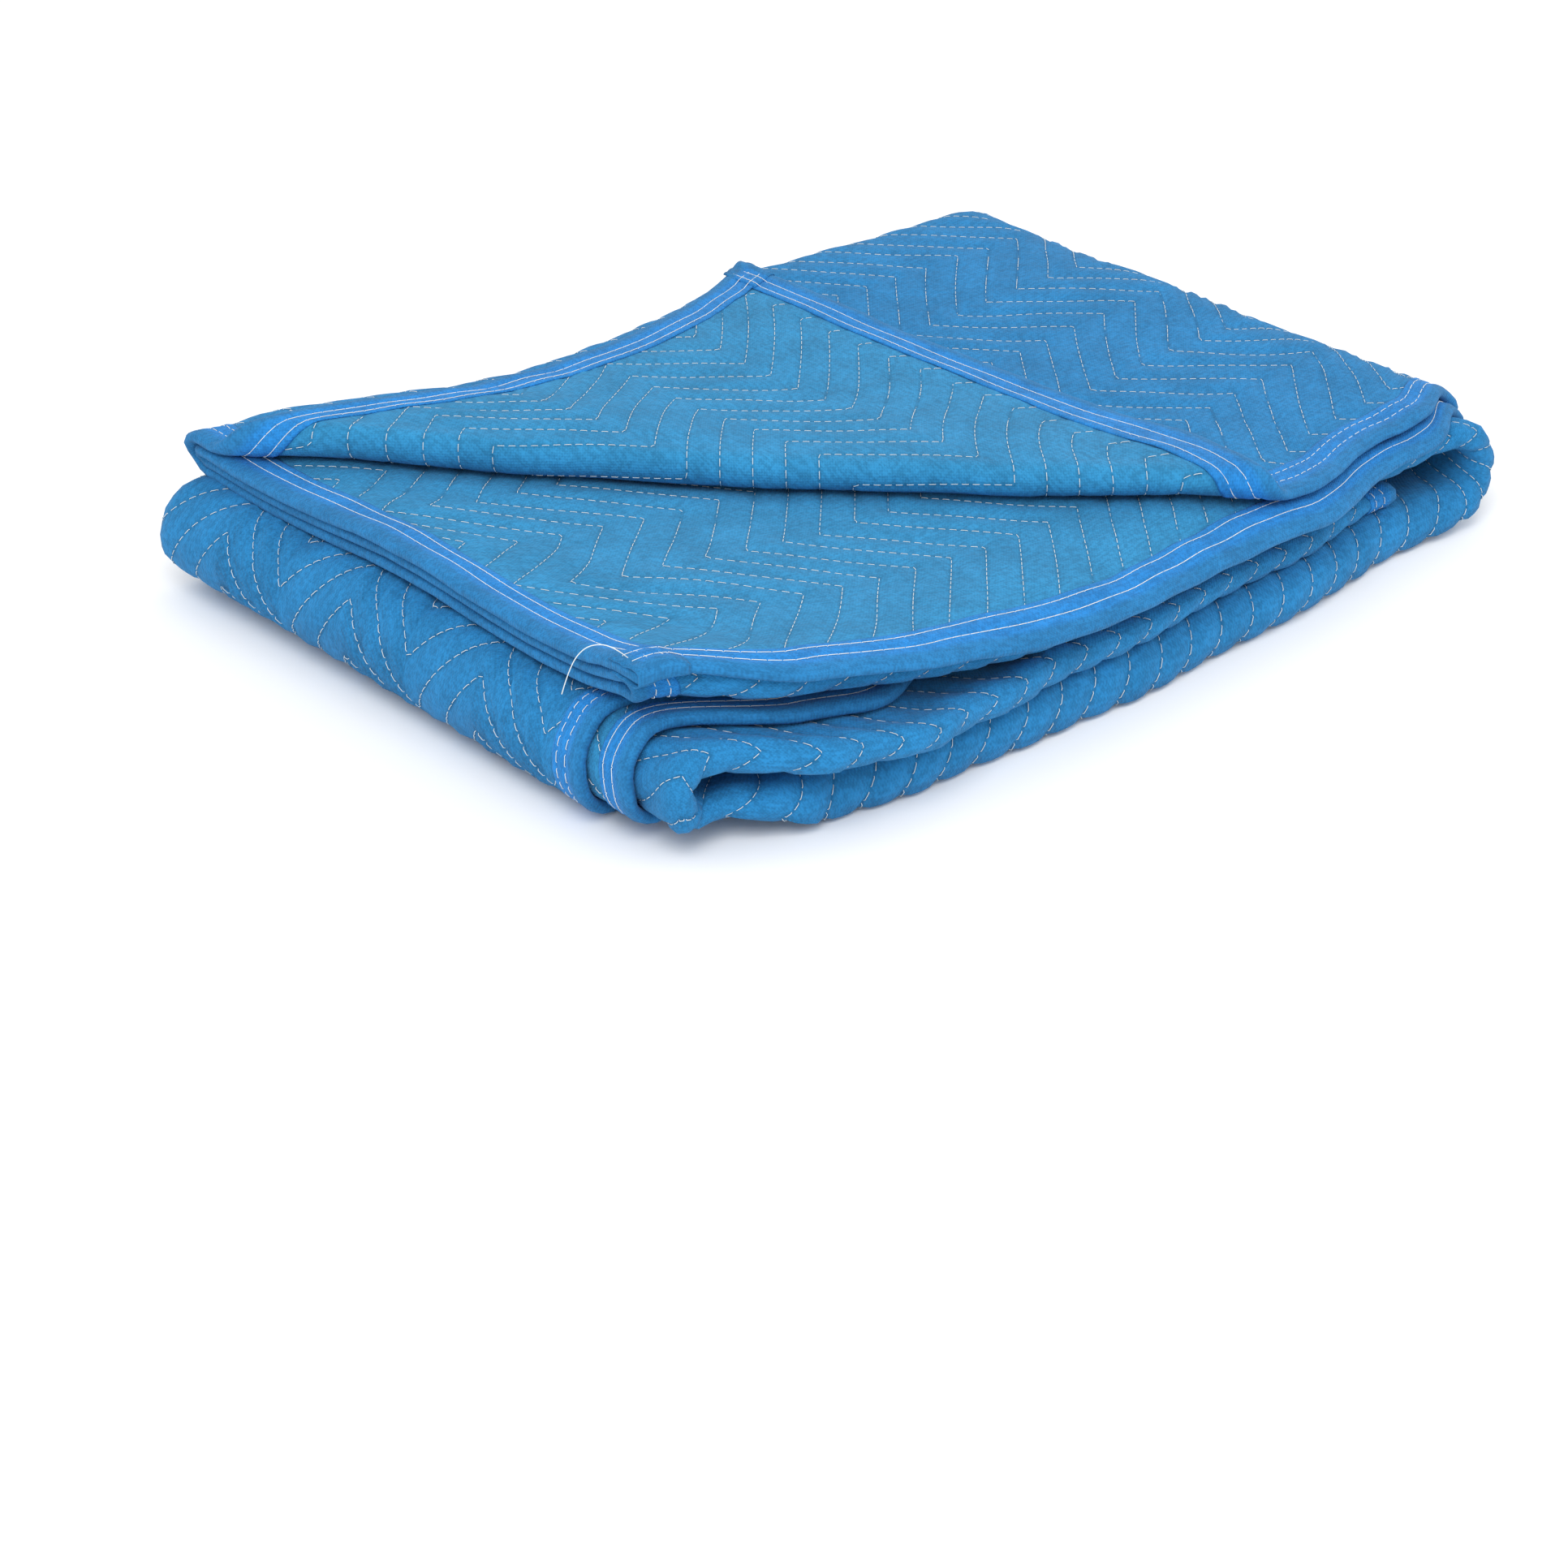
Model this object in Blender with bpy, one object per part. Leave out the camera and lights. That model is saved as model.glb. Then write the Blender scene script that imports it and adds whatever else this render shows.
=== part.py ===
"""A quilted moving blanket, folded in four one way and in three the other, with one corner turned back.

Metres, +Z up. X runs along the long folded side and Y from front to back. The flat cut is drawn first, with U
along its length, V across its width and N through its thickness. A fold function then lays it in the bundle.
"""

import bmesh
import bpy
import numpy as np

# The flat cut and its make-up
LENGTH = 2.03
WIDTH = 1.83
THICK = 0.0042
TAPE_THICK = 0.0005
TAPE_LEG = 0.024
TAPE_CELLS = 2
GAP = 0.0005

# The quilting: rows of zigzag stitching, raised in the faces that the top run shows. The cloth is thinnest in
# a row and thickest half way to the next
ROW = 0.0268
ROW_START = 0.0082
ZIG_HALF = 0.0682
ZIG_SLOPE = 0.95
ZIG_START = 0.102
ROW_HALF = 0.0014
RIDGE_HALF = 0.0031

# The bundle: the distance from one layer's middle to the next, and where its sides lie
PLY = 0.0087
BASE = 0.5 * THICK
LEFT_END = 0.018
UNDER_END = 0.007
RIGHT_TURN_X = 0.664
LEFT_TURN_X = 0.0275
BACK_Y = 0.435

# Where each run along U ends: top run, right turn, bottom run and left turn. The middle run is the rest
TOP_RUN = 0.625
RIGHT_TURN = 0.757
BOTTOM_RUN = 1.366
LEFT_TURN = 1.452

# Where each strip across V ends: top strip A, outer back fold, strip C2, front roll, strip C1 and inner back
# fold. Strip B is the rest
STRIP_A = 0.435
BACK_FOLD = 0.4755
STRIP_C2 = 0.885
FRONT_ROLL = 0.945
STRIP_C1 = 1.3545
INNER_FOLD = 1.368

# The open nose of the left turn lifts what lies over it, and dies out to the right
NOSE = 0.0085
NOSE_FROM = 0.05
NOSE_TO = 0.25

# The front of the bundle, one row for each station along U, distances in metres and levels in plies. The
# edges of strips A and B and the roll that joins C2 and C1 lie at these distances from the front. The roll
# swells from its low level to its high one, and each strip's front is lifted or, where B is bound, droops
FRONT_NAMES = ("u", "a_edge", "b_edge", "roll_y", "roll_deep", "roll_low", "roll_high")
FRONT_NAMES += ("a_lift", "b_lift", "c_lift", "b_droop")
FRONT = [
    (0.00, -0.018, 0.000, 0.012, 0.016, 0.10, 1.45, 0.10, 0.45, 0.35, 0.20),
    (0.08, -0.030, -0.008, 0.006, 0.016, 0.10, 1.45, 0.10, 0.45, 0.35, 0.60),
    (0.26, -0.045, -0.014, 0.002, 0.018, -1.30, -0.30, 0.10, -0.50, -1.25, 1.40),
    (0.47, -0.004, -0.014, 0.002, 0.018, -1.30, -0.30, -0.20, -0.50, -1.25, 1.20),
    (0.60, 0.002, -0.010, 0.004, 0.018, -0.90, 0.15, -0.10, -0.40, -0.85, 0.60),
    (0.66, 0.010, 0.006, 0.002, 0.022, -0.30, 1.00, 0.00, 0.00, 0.00, 0.20),
    (0.74, 0.050, 0.046, 0.000, 0.028, -0.10, 1.50, -0.20, -0.14, 0.00, 0.00),
    (0.80, 0.064, 0.058, 0.000, 0.038, 0.40, 3.10, -0.26, -0.18, 0.00, 0.00),
    (1.28, 0.066, 0.060, 0.000, 0.040, 0.40, 3.25, -0.26, -0.18, 0.00, 0.00),
    (1.345, 0.026, 0.000, -0.020, 0.026, 0.05, 1.35, -0.26, -0.18, 0.00, 0.00),
    (1.40, 0.012, -0.014, -0.030, 0.022, 0.00, 1.25, -0.10, -0.06, 0.00, 0.00),
    (1.46, 0.012, -0.014, -0.030, 0.022, 0.00, 1.30, 0.10, 0.10, 0.00, 0.00),
    (1.56, 0.018, -0.004, -0.022, 0.022, 0.02, 1.30, 0.10, 0.10, 0.00, 0.00),
    (1.64, 0.052, 0.036, -0.010, 0.026, 0.10, 1.40, 0.04, 0.04, 0.00, 0.00),
    (1.70, 0.066, 0.054, -0.002, 0.036, 0.20, 2.00, 0.00, 0.00, 0.00, 0.00),
    (2.03, 0.074, 0.040, 0.004, 0.026, 0.12, 1.35, 0.00, 0.00, 0.00, 0.00),
]

# The turned-back corner: its crease runs from the left edge to the front edge, bowed towards the corner
CREASE_LEFT = np.array((0.018, 0.424))
CREASE_FRONT = np.array((0.480, -0.004))
CREASE_BOW = 0.016
CREASE_RADIUS = 0.0085
CREASE_STEPS = 5
FLAP_STRETCH = 1.09
FLAP_SAG = 0.024
FLAP_PULL = 0.016

# Strip A's top run bows in at the back behind the flap
BACK_BOW = 0.026

# The bundle's own unevenness: how far its front bows out at each distance along X, how low its right side
# stands, and how far the left turn flares out towards the back
BOW = [(-0.05, 0.012), (0.03, 0.008), (0.10, -0.032), (0.18, -0.043)]
BOW += [(0.30, -0.044), (0.48, -0.032), (0.60, -0.014), (0.72, -0.004)]
LOW_RIGHT = 0.865
LEFT_FLARE = 0.012

# Grid lines of the flat cut, as rows of where a stretch ends and how many cells it has
U_CELLS = [(TAPE_LEG, TAPE_CELLS), (0.036, 1), (0.26, 4), (0.56, 3), (TOP_RUN, 1), (RIGHT_TURN, 7)]
U_CELLS += [(BOTTOM_RUN, 5), (LEFT_TURN, 7), (LENGTH - 0.036, 5), (LENGTH - TAPE_LEG, 1)]
U_CELLS += [(LENGTH, TAPE_CELLS)]
V_CELLS = [(TAPE_LEG, TAPE_CELLS), (0.036, 1), (STRIP_A, 3), (BACK_FOLD, 6), (STRIP_C2 - 0.04, 2)]
V_CELLS += [(STRIP_C2, 2), (FRONT_ROLL, 8), (FRONT_ROLL + 0.04, 2), (STRIP_C1, 2), (INNER_FOLD, 3)]
V_CELLS += [(WIDTH - 0.075, 2), (WIDTH - 0.036, 2), (WIDTH - TAPE_LEG, 1), (WIDTH, TAPE_CELLS)]


def smooth(low, high, value):
    """0 below low, 1 above high, and an even S between them."""
    t = np.clip((value - low) / (high - low), 0.0, 1.0)
    return t * t * (3.0 - 2.0 * t)


def read_rows(rows, column, at):
    """A table's column read at each place, with an even S between one row and the next."""
    places = np.array([row[0] for row in rows])
    values = np.array([row[column] for row in rows])
    k = np.clip(np.searchsorted(places, at, side="right") - 1, 0, len(places) - 2)
    t = smooth(places[k], places[k + 1], at)
    return values[k] * (1.0 - t) + values[k + 1] * t


def half_turn(start, end, value):
    """The angle reached in a fold, from 0 at its start to half a turn at its end."""
    return np.pi * np.clip((value - start) / (end - start), 0.0, 1.0)


def between(start, end, value, low, high):
    """Even travel from low to high while value goes from start to end."""
    return low + (high - low) * (value - start) / (end - start)


def strips(u, v):
    """Where a point lies across the bundle: its distance from the front and its height above strip C2."""
    at = {name: read_rows(FRONT, k, u) for k, name in enumerate(FRONT_NAMES) if k}

    def near_edge(distance):
        return 1.0 - smooth(0.018, 0.055, distance)

    def near_front(y):
        return 1.0 - smooth(0.016, 0.056, y)

    # Strip A, from its bound front edge to the outer back fold
    y_a = between(0.0, STRIP_A, v, at["a_edge"], BACK_Y)
    level_a = 3.0 + at["a_lift"] * near_edge(y_a - at["a_edge"])
    # The outer back fold and the inner one are half rounds about one centre
    turn = half_turn(STRIP_A, BACK_FOLD, v)
    y_outer = BACK_Y + 1.5 * PLY * np.sin(turn)
    level_outer = 1.5 + 1.5 * np.cos(turn)
    turn = half_turn(STRIP_C1, INNER_FOLD, v)
    y_inner = BACK_Y + 0.5 * PLY * np.sin(turn)
    level_inner = 1.5 - 0.5 * np.cos(turn)
    # Strips C2 and C1, and the roll at the front that joins them
    roll_back = at["roll_y"] + at["roll_deep"]
    y_c2 = between(BACK_FOLD, STRIP_C2, v, BACK_Y, roll_back)
    level_c2 = at["c_lift"] * near_front(y_c2)
    y_c1 = between(FRONT_ROLL, STRIP_C1, v, roll_back, BACK_Y)
    level_c1 = 1.0 + at["c_lift"] * near_front(y_c1)
    turn = half_turn(STRIP_C2, FRONT_ROLL, v)
    swell_share = np.sin(turn) ** 2
    y_roll = at["roll_y"] + at["roll_deep"] * (1.0 - np.sin(turn))
    middle = 0.5 + at["c_lift"] * near_front(y_roll)
    swell = np.maximum(0.5 * (at["roll_high"] - at["roll_low"]) - 0.3, 0.0)
    shift = 0.5 * (at["roll_high"] + at["roll_low"]) - middle
    level_roll = middle - np.cos(turn) * (0.5 + 2.6 * swell * swell_share) + shift * swell_share
    # Strip B, from the inner back fold to its bound front edge, which hangs over the front
    y_b = between(INNER_FOLD, WIDTH, v, BACK_Y, at["b_edge"])
    level_b = 2.0 + at["b_lift"] * near_edge(y_b - at["b_edge"])
    level_b = level_b - at["b_droop"] * (1.0 - smooth(-0.008, 0.020, y_b - at["b_edge"]))

    pick = [v < STRIP_A, v < BACK_FOLD, v < STRIP_C2, v < FRONT_ROLL, v < STRIP_C1, v < INNER_FOLD]
    y = np.select(pick, [y_a, y_outer, y_c2, y_roll, y_c1, y_inner], y_b)
    level = np.select(pick, [level_a, level_outer, level_c2, level_roll, level_c1, level_inner], level_b)
    return y, level * PLY


def nose(x):
    """How far the open nose of the left turn lifts what lies over it."""
    return NOSE * (1.0 - smooth(NOSE_FROM, NOSE_TO, x))


def runs(u, rise):
    """Where a point lies along the bundle, given its height above strip C2: its X and its Z."""
    under = 1.0 - smooth(0.3 * PLY, 2.7 * PLY, rise)
    x_top = LEFT_END + u + UNDER_END * under * (1.0 - smooth(0.0, 0.08, u))
    x_top = x_top + (RIGHT_TURN_X - LEFT_END - TOP_RUN) * smooth(0.50, TOP_RUN, u)
    z_top = BASE + 8.0 * PLY + nose(x_top) + rise
    turn = half_turn(TOP_RUN, RIGHT_TURN, u)
    x_right = RIGHT_TURN_X + (2.5 * PLY + rise) * np.sin(turn)
    z_right = BASE + 5.5 * PLY + (2.5 * PLY + rise) * np.cos(turn)
    x_low = between(RIGHT_TURN, BOTTOM_RUN, u, RIGHT_TURN_X, LEFT_TURN_X)
    z_low = BASE + 3.0 * PLY - rise
    turn = half_turn(BOTTOM_RUN, LEFT_TURN, u)
    radius = 0.5 * (PLY + NOSE) + rise
    x_left = LEFT_TURN_X - radius * np.sin(turn)
    z_left = BASE + 3.5 * PLY + 0.5 * NOSE - radius * np.cos(turn)
    x_mid = LEFT_TURN_X + (u - LEFT_TURN)
    z_mid = BASE + 4.0 * PLY + nose(x_mid) + rise
    pick = [u < TOP_RUN, u < RIGHT_TURN, u < BOTTOM_RUN, u < LEFT_TURN]
    x = np.select(pick, [x_top, x_right, x_low, x_left], x_mid)
    z = np.select(pick, [z_top, z_right, z_low, z_left], z_mid)
    return x, z


CHORD = CREASE_FRONT - CREASE_LEFT
CHORD_LENGTH = np.linalg.norm(CHORD)
CHORD_ALONG = CHORD / CHORD_LENGTH
CHORD_ACROSS = np.array((-CHORD_ALONG[1], CHORD_ALONG[0]))


def beside_chord(x, y):
    """A point's distance behind the straight line between the crease's ends, and its share of the way."""
    dx = x - CREASE_LEFT[0]
    dy = y - CREASE_LEFT[1]
    across = dx * CHORD_ACROSS[0] + dy * CHORD_ACROSS[1]
    share = (dx * CHORD_ALONG[0] + dy * CHORD_ALONG[1]) / CHORD_LENGTH
    return across, np.clip(share, 0.0, 1.0)


def turn_back(x, y, z, top):
    """Rolls the corner of strip A back over its crease."""
    across, share = beside_chord(x, y)
    beyond = -(across + CREASE_BOW * np.sin(np.pi * share**0.7))
    arc = np.clip(beyond / CREASE_RADIUS, 0.0, np.pi)
    rest = np.maximum(beyond - np.pi * CREASE_RADIUS, 0.0)
    moved = beyond - CREASE_RADIUS * np.sin(arc) + rest * FLAP_STRETCH
    settled = (2.0 * CREASE_RADIUS - 1.05 * PLY) * smooth(0.0, 0.12, rest)
    raised = CREASE_RADIUS * (1.0 - np.cos(arc)) - settled
    flat = smooth(0.0, 0.25, rest)
    new_x = x + CHORD_ACROSS[0] * moved + FLAP_PULL * flat
    new_y = y + CHORD_ACROSS[1] * moved
    sag = np.sin(np.pi * np.clip((new_x - CREASE_LEFT[0]) / 0.42, 0.0, 1.0)) * smooth(0.15, 0.42, new_y)
    new_y = new_y - FLAP_SAG * sag
    on = top & (beyond > 0.0)
    return np.where(on, new_x, x), np.where(on, new_y, y), np.where(on, z + raised, z)


def settle(x, y, z):
    """The bundle's bowed front and back, its flared left turn and its lower right side."""
    y = y + read_rows(BOW, 1, x) * np.clip(1.0 - y / BACK_Y, 0.0, 1.2)
    y = y - BACK_BOW * np.sin(np.pi * np.clip(x / 0.46, 0.0, 1.0)) * smooth(0.20, BACK_Y, y)
    flare = np.clip(y / BACK_Y, 0.0, 1.0) ** 2 * (1.0 - smooth(-0.02, 0.16, x))
    x = x - LEFT_FLARE * flare * smooth(0.0, 0.03, z) * (1.0 - smooth(0.05, 0.085, z))
    height = 1.0 - (1.0 - LOW_RIGHT) * smooth(0.02, 0.70, x)
    return x, y, BASE + (z - BASE) * height


def fold_middle(u, v):
    """Lays points of the cut's middle surface in the bundle."""
    y, rise = strips(u, v)
    x, z = runs(u, rise)
    x, y, z = turn_back(x, y, z, (u < TOP_RUN) & (v < STRIP_A))
    return np.stack(settle(x, y, z), axis=-1)


def fold(u, v, n):
    """Lays points of the cut in the bundle, with N measured towards the side that strip A shows on top."""
    step = 0.0004
    along = fold_middle(u + step, v) - fold_middle(u - step, v)
    across = fold_middle(u, v + step) - fold_middle(u, v - step)
    normal = np.cross(along, across)
    normal /= np.linalg.norm(normal, axis=-1, keepdims=True)
    return fold_middle(u, v) + normal * n[:, None]


def lines(stretches):
    """Grid lines from rows of where a stretch ends and how many cells it has."""
    found = [0.0]
    for end, count in stretches:
        found += list(np.linspace(found[-1], end, count + 1)[1:])
    return found


def ruled_grid(first, second, place):
    """A grid whose vertices go where place puts each pair of line values."""
    bm = bmesh.new()
    bmesh.ops.create_grid(bm, x_segments=len(first) - 1, y_segments=len(second) - 1, size=1.0)
    for vert in bm.verts:
        i = round((vert.co.x + 1.0) / 2.0 * (len(first) - 1))
        j = round((vert.co.y + 1.0) / 2.0 * (len(second) - 1))
        vert.co = place(first[i], second[j])
    return bm


def cut_along_crease(bm):
    """Cuts strip A's top run along the crease, so that its roll has lines of its own."""
    roll = np.pi * CREASE_RADIUS
    offsets = [-0.010] + [roll * k / CREASE_STEPS for k in range(CREASE_STEPS + 1)] + [roll + 0.012]
    for offset in offsets:
        point = CREASE_LEFT - CHORD_ACROSS * offset - np.array((LEFT_END, 0.0))
        faces = []
        for face in bm.faces:
            middle = face.calc_center_median()
            if middle.x < TOP_RUN and middle.y < STRIP_A:
                faces.append(face)
        geom = {e for face in faces for e in face.edges} | {v for face in faces for v in face.verts}
        bmesh.ops.bisect_plane(
            bm, geom=faces + list(geom), dist=1e-5, plane_co=(*point, 0.0), plane_no=(*CHORD_ACROSS, 0.0)
        )


def zig(v):
    """How far a row of stitching has swung along the cut at V."""
    t = np.mod(v - ZIG_START, 2.0 * ZIG_HALF)
    return -ZIG_SLOPE * np.minimum(t, 2.0 * ZIG_HALF - t)


def shown_on_top(u, v):
    """Where strips A and B show in the top run, clear of the binding, the folds and the corner."""
    x = LEFT_END + u
    y = BACK_Y * v / STRIP_A
    behind = beside_chord(x, y)[0]
    mirrored_x = x - 2.0 * behind * CHORD_ACROSS[0]
    mirrored_y = y - 2.0 * behind * CHORD_ACROSS[1]
    covered = (behind > 0.030) & (y < 0.33) & (mirrored_x > LEFT_END + 0.06) & (mirrored_y > 0.06)
    strip_a = (v > 0.035) & (v < STRIP_A) & ~covered
    ahead = -beside_chord(x, BACK_Y * (WIDTH - v) / (WIDTH - INNER_FOLD))[0]
    strip_b = (v > INNER_FOLD) & (v < WIDTH - 0.035) & (ahead > -0.014)
    return (u > 0.035) & (u < TOP_RUN + 0.001) & (strip_a | strip_b)


def cut_shown(bm, low, high, place, way):
    """Cuts the faces that show in the top run between two places across the cut."""
    faces = []
    for face in bm.faces:
        centre = face.calc_center_median()
        reach = (centre.x - place[0]) * way[0] + (centre.y - place[1]) * way[1]
        if abs(reach) < 0.16 and low < centre.y < high and shown_on_top(centre.x, centre.y):
            faces.append(face)
    if faces:
        geom = {e for face in faces for e in face.edges} | {v for face in faces for v in face.verts}
        bmesh.ops.bisect_plane(
            bm, geom=faces + list(geom), dist=1e-5, plane_co=(*place, 0.0), plane_no=(*way, 0.0)
        )


def cut_along_rows(bm):
    """Cuts strips A and B of the top run along the rows of stitching and half way between them."""
    corners = [0.036] + [ZIG_START + k * ZIG_HALF for k in range(28)] + [WIDTH - 0.036]
    for corner in corners:
        cut_shown(bm, 0.0, WIDTH, (0.0, corner), (0.0, 1.0))
    for low, high in zip(corners, corners[1:]):
        middle = 0.5 * (low + high)
        slope = (zig(high - 1e-5) - zig(low + 1e-5)) / (high - low)
        for k in range(54):
            cut_shown(bm, low, high, (ROW_START + 0.5 * ROW * k + zig(middle), middle), (1.0, -slope))


def quilted_half(u, v, n):
    """Half the cloth's thickness, raised between rows where they show. Strip B's under side stays plain."""
    t = np.mod((u - ROW_START - zig(v)) / ROW, 1.0)
    ridge = 1.0 - np.abs(2.0 * t - 1.0)
    across = beside_chord(LEFT_END + u, BACK_Y * v / STRIP_A)[0]
    crease = (1.0 - smooth(0.018, 0.034, np.abs(across + 0.013))) * (v < STRIP_A)
    share = shown_on_top(u, v) * ((v < STRIP_A) | (n < 0.0)) * (1.0 - 0.7 * crease)
    return 0.5 * THICK + share * (ROW_HALF - 0.5 * THICK + (RIDGE_HALF - ROW_HALF) * ridge)


def ease_to_crease(u, v):
    """Shifts strip A's points so that its straight cuts follow the bowed crease."""
    x = LEFT_END + u
    y = BACK_Y * v / STRIP_A
    across, share = beside_chord(x, y)
    shift = CREASE_BOW * np.sin(np.pi * share**0.7) * (1.0 - smooth(0.03, 0.13, np.abs(across + 0.013)))
    wanted_x = x - CHORD_ACROSS[0] * shift
    wanted_y = y - CHORD_ACROSS[1] * shift
    edge = read_rows(FRONT, 1, u)
    wanted_v = STRIP_A * (wanted_y - edge) / (BACK_Y - edge)
    near = (u < TOP_RUN) & (v < STRIP_A)
    window = (1.0 - smooth(0.03, 0.13, np.abs(across + 0.013))) * smooth(0.0, 0.05, v)
    window = window * smooth(0.0, 0.03, STRIP_A - v)
    new_u = np.where(near, u + (wanted_x - LEFT_END - u) * smooth(0.0, 0.05, u), u)
    new_v = np.where(near, v + (wanted_v - v) * window, v)
    return new_u, new_v


def split_faces(bm):
    """Splits each four-sided face the same way, so that neighbouring sheets bend alike, and then the rest."""
    for face in bm.faces[:]:
        ends = sorted(face.verts, key=lambda vert: vert.co.x + vert.co.y)
        shared = [edge for edge in ends[0].link_edges if edge.other_vert(ends[0]) == ends[-1]]
        if len(ends) == 4 and not shared:
            bmesh.utils.face_split(face, ends[0], ends[-1])
    bmesh.ops.triangulate(bm, faces=[face for face in bm.faces if len(face.verts) > 4])


def add_solid(name, bm, thick, mat, quilted=False):
    """Gives a flat sheet its thickness, folds it and adds it to the blanket."""
    bm.normal_update()
    bmesh.ops.solidify(bm, geom=bm.faces[:], thickness=thick)
    bmesh.ops.recalc_face_normals(bm, faces=bm.faces)
    split_faces(bm)
    flat = np.array([vert.co for vert in bm.verts])
    u, v, n = flat.T
    if quilted:
        n = np.sign(n) * quilted_half(u, v, n)
    u, v = ease_to_crease(u, v)
    for vert, place in zip(bm.verts, fold(u, v, n)):
        vert.co = place
    mesh = bpy.data.meshes.new(name)
    bm.to_mesh(mesh)
    bm.free()
    mesh.materials.append(mat)
    mesh.shade_smooth()
    mesh.set_sharp_from_angle(angle=np.radians(40.0))
    blanket.objects.link(bpy.data.objects.new(name, mesh))


def material(name, colour, rough):
    mat = bpy.data.materials.new(name)
    mat.use_nodes = True
    shader = mat.node_tree.nodes["Principled BSDF"]
    shader.inputs["Base Color"].default_value = (*colour, 1.0)
    shader.inputs["Roughness"].default_value = rough
    shader.inputs["Metallic"].default_value = 0.0
    return mat


def tape_profile(height):
    """The inside of a tape over an edge, a U: rows of (distance in from the edge, distance from middle)."""
    half = [(TAPE_LEG * (1.0 - k / TAPE_CELLS), height) for k in range(TAPE_CELLS + 1)]
    half.append((-GAP - 0.0003, 0.8 * height))
    return half + [(inward, -high) for inward, high in reversed(half)]


INSIDE = 0.5 * THICK + GAP
OVER_INSIDE = INSIDE + TAPE_THICK + GAP


def long_tape(name, at_far_side):
    """Tape over one of the two long edges, which the short edges' tapes cover at the corners."""
    profile = tape_profile(INSIDE)

    def place(u, k):
        inward, high = profile[k]
        return (u, WIDTH - inward if at_far_side else inward, high)

    bm = ruled_grid(lines(U_CELLS), range(len(profile)), place)
    if not at_far_side:
        cut_along_crease(bm)
    add_solid(name, bm, -TAPE_THICK if at_far_side else TAPE_THICK, tape_blue)


def short_tape(name, at_far_end):
    """Tape over one of the two short edges, raised at its ends over the long edges' tapes."""
    across = lines(V_CELLS)
    across[0] = -0.0012
    across[-1] = WIDTH + 0.0012
    low = tape_profile(INSIDE)
    high = tape_profile(OVER_INSIDE)

    def place(v, k):
        over = v < TAPE_LEG + 0.001 or v > WIDTH - TAPE_LEG - 0.001
        inward, level = (high if over else low)[k]
        return (LENGTH - inward if at_far_end else inward, v, level)

    bm = ruled_grid(across, range(len(low)), place)
    if not at_far_end:
        cut_along_crease(bm)
    add_solid(name, bm, TAPE_THICK if at_far_end else -TAPE_THICK, tape_blue)


for old in list(bpy.data.objects):
    bpy.data.objects.remove(old, do_unlink=True)

blanket = bpy.data.collections.new("moving_blanket")
bpy.context.scene.collection.children.link(blanket)
quilt_blue = material("quilt_blue", (0.045, 0.285, 0.605), 0.95)
tape_blue = material("tape_blue", (0.018, 0.235, 0.72), 0.75)

# The quilted cloth, in one piece
bm = ruled_grid(lines(U_CELLS), lines(V_CELLS), lambda u, v: (u, v, 0.5 * THICK))
cut_along_rows(bm)
cut_along_crease(bm)
add_solid("quilted_cloth", bm, THICK, quilt_blue, quilted=True)

# The binding, one tape over each edge
long_tape("binding_front_top", at_far_side=False)
long_tape("binding_front_under", at_far_side=True)
short_tape("binding_left_end", at_far_end=False)
short_tape("binding_inner_end", at_far_end=True)

# The bundle stands on the origin, under the middle of its box
corners = []
for obj in blanket.objects:
    points = np.empty(len(obj.data.vertices) * 3, np.float32)
    obj.data.vertices.foreach_get("co", points)
    corners += [points.reshape(-1, 3).min(axis=0), points.reshape(-1, 3).max(axis=0)]
low, high = np.min(corners, axis=0), np.max(corners, axis=0)
foot = np.array((0.5 * (low[0] + high[0]), 0.5 * (low[1] + high[1]), low[2]))
for obj in blanket.objects:
    points = np.empty(len(obj.data.vertices) * 3, np.float32)
    obj.data.vertices.foreach_get("co", points)
    shifted = points.reshape(-1, 3) - foot.astype(np.float32)
    obj.data.vertices.foreach_set("co", shifted.ravel())
    obj.data.update()
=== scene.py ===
"""Looks of a quilted moving blanket, folded in four across and three along, with one corner turned back."""

import math
import random

import bmesh
import bpy
import numpy as np
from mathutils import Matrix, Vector


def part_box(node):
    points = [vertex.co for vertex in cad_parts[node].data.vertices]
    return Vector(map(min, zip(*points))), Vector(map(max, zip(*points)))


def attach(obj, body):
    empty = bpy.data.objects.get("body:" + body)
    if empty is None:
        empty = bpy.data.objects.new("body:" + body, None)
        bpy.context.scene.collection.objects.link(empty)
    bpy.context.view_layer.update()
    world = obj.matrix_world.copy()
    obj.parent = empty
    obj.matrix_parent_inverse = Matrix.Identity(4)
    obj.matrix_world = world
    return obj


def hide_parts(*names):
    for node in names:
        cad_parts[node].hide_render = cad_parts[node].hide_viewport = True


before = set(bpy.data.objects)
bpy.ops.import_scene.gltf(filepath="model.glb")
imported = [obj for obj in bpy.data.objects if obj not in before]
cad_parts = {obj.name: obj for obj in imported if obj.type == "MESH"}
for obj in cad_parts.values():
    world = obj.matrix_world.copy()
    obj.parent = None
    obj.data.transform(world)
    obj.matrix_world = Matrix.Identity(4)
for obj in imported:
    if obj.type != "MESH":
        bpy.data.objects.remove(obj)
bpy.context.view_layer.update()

# The fold. U runs along the cut, V across it and N through it. The folded place of a point comes from these
# sizes, close to those of the solids: plies a little apart, two half rounds at the back and a roll in front
LENGTH = 2.03
WIDTH = 1.83

# The bundle: the distance from one layer's middle to the next, and where its sides lie
PLY = 0.0087
BASE = 0.0021
LEFT_END = 0.018
UNDER_END = 0.007
RIGHT_TURN_X = 0.656
LEFT_TURN_X = 0.0275
BACK_Y = 0.435

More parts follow.
